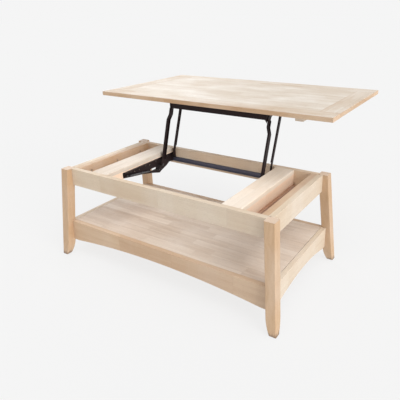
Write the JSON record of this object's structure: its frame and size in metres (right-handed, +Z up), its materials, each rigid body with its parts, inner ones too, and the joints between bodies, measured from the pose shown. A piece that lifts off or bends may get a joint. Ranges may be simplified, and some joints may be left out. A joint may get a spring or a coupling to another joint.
{
  "type": "lift top coffee table",
  "caption": "Wooden coffee table with splayed legs, a lower shelf and a divided well under a top that lifts and swings out on a parallel linkage.",
  "frame": {"origin": "on the floor, at the centre of the four legs", "axes": "+Z up, +X along the table's long side, +Y the way the lid moves out as it rises"},
  "size_m": [1.22, 1.0896, 0.7555],
  "materials": {
    "lid_wood": "raw sanded hardwood staves, unfinished",
    "border_wood": "raw sanded hardwood, unfinished",
    "leg_wood": "raw sanded hardwood, unfinished",
    "apron_wood": "raw sanded hardwood, unfinished",
    "rail_wood": "raw sanded hardwood, unfinished",
    "shelf_wood": "raw sanded finger-jointed staves",
    "inner_wood": "raw planed wood, unfinished",
    "block_wood": "raw sawn wood",
    "dowel_wood": "fluted beech",
    "dark_steel": "satin black powder coat",
    "blue_steel": "satin blue-black powder coat",
    "rivet_steel": "dull zinc plated",
    "spring_steel": "oiled spring wire",
    "screw_zinc": "zinc plated",
    "stop_rubber": "matte black rubber",
    "clear_rubber": "clear soft polyurethane",
    "nylon": "brown nylon"
  },
  "bodies": {
    "base": {"leg_front_left": "leg_wood", "leg_front_right": "leg_wood", "leg_rear_left": "leg_wood", "leg_rear_right": "leg_wood", "foot_glides": "nylon", "dowels": "dowel_wood", "apron_front": "apron_wood", "apron_rear": "apron_wood", "apron_left": "apron_wood", "apron_right": "apron_wood", "apron_inner_board_left": "inner_wood", "apron_inner_board_right": "inner_wood", "frame_screws": "screw_zinc", "cross_rail_top_left": "inner_wood", "cross_rail_top_right": "inner_wood", "cross_rail_inner_side_left": "inner_wood", "cross_rail_inner_side_right": "inner_wood", "cross_rail_outer_side_left": "inner_wood", "cross_rail_outer_side_right": "inner_wood", "slot_ledgers": "block_wood", "lower_rail_front": "rail_wood", "lower_rail_rear": "rail_wood", "lower_rail_left": "rail_wood", "lower_rail_right": "rail_wood", "shelf_panel": "shelf_wood", "shelf_cleats_long": "inner_wood", "shelf_cleats_short": "inner_wood", "shelf_screws": "screw_zinc", "base_plate_left": "dark_steel", "base_plate_right": "dark_steel", "lower_cross_bar": "blue_steel", "lower_rivets": "rivet_steel", "lower_bushes": "rivet_steel", "spring_anchor_pins": "rivet_steel", "arm_stops": "stop_rubber", "mechanism_screws": "screw_zinc", "spring_anchor_hooks": "spring_steel", "spring_coil_left": "spring_steel", "spring_coil_right": "spring_steel"},
    "lid": {"lid_panel": "lid_wood", "lid_border_front": "border_wood", "lid_border_rear": "border_wood", "lid_border_left": "border_wood", "lid_border_right": "border_wood", "lid_locating_block": "inner_wood", "lid_bumpers": "clear_rubber", "top_bracket_left": "dark_steel", "top_bracket_right": "dark_steel", "upper_cross_bar": "dark_steel", "upper_rivets": "rivet_steel", "upper_bushes": "rivet_steel", "lid_screws": "screw_zinc"},
    "front_arm_left": {"front_arm_left": "dark_steel", "spring_pin_left": "rivet_steel"},
    "front_arm_right": {"front_arm_right": "dark_steel", "spring_pin_right": "rivet_steel"},
    "rear_arm_left": {"rear_arm_left": "dark_steel"},
    "rear_arm_right": {"rear_arm_right": "dark_steel"},
    "spring_hook_left": {"spring_hook_left": "spring_steel"},
    "spring_hook_right": {"spring_hook_right": "spring_steel"}
  },
  "joints": [
    {"name": "front_arm_left_turn", "type": "hinge", "parent": "base", "child": "front_arm_left", "pos_m": [-0.29, 0.1295, 0.398], "axis": [1, 0, 0], "range_deg": [0, 102.8]},
    {"name": "lid_level", "type": "hinge", "parent": "front_arm_left", "child": "lid", "pos_m": [-0.275, 0.22645, 0.70107], "axis": [1, 0, 0], "range_deg": [-102.8, 0]},
    {"name": "front_arm_right_turn", "type": "hinge", "parent": "base", "child": "front_arm_right", "pos_m": [0.29, 0.1295, 0.398], "axis": [1, 0, 0], "range_deg": [0, 102.8]},
    {"name": "rear_arm_left_turn", "type": "hinge", "parent": "base", "child": "rear_arm_left", "pos_m": [-0.288, 0.2295, 0.418], "axis": [1, 0, 0], "range_deg": [0, 102.8]},
    {"name": "rear_arm_right_turn", "type": "hinge", "parent": "base", "child": "rear_arm_right", "pos_m": [0.288, 0.2295, 0.418], "axis": [1, 0, 0], "range_deg": [0, 102.8]},
    {"name": "spring_stretch_left", "type": "slide", "parent": "base", "child": "spring_hook_left", "axis": [0, 0.989, -0.1478], "range_m": [0, 0.05476], "deforming": ["spring_coil_left", "spring_hook_left"]},
    {"name": "spring_stretch_right", "type": "slide", "parent": "base", "child": "spring_hook_right", "axis": [0, 0.989, -0.1478], "range_m": [0, 0.05476], "deforming": ["spring_coil_right", "spring_hook_right"]}
  ],
  "couplings": [
    {"joint": "lid_level", "follows": "front_arm_left_turn", "ratio": -1},
    {"joint": "front_arm_right_turn", "follows": "front_arm_left_turn", "ratio": 1},
    {"joint": "rear_arm_left_turn", "follows": "front_arm_left_turn", "ratio": 1},
    {"joint": "rear_arm_right_turn", "follows": "front_arm_left_turn", "ratio": 1},
    {"joint": "spring_stretch_left", "follows": "front_arm_left_turn", "m_per_rad": 0.030491},
    {"joint": "spring_stretch_right", "follows": "front_arm_left_turn", "m_per_rad": 0.030491}
  ]
}
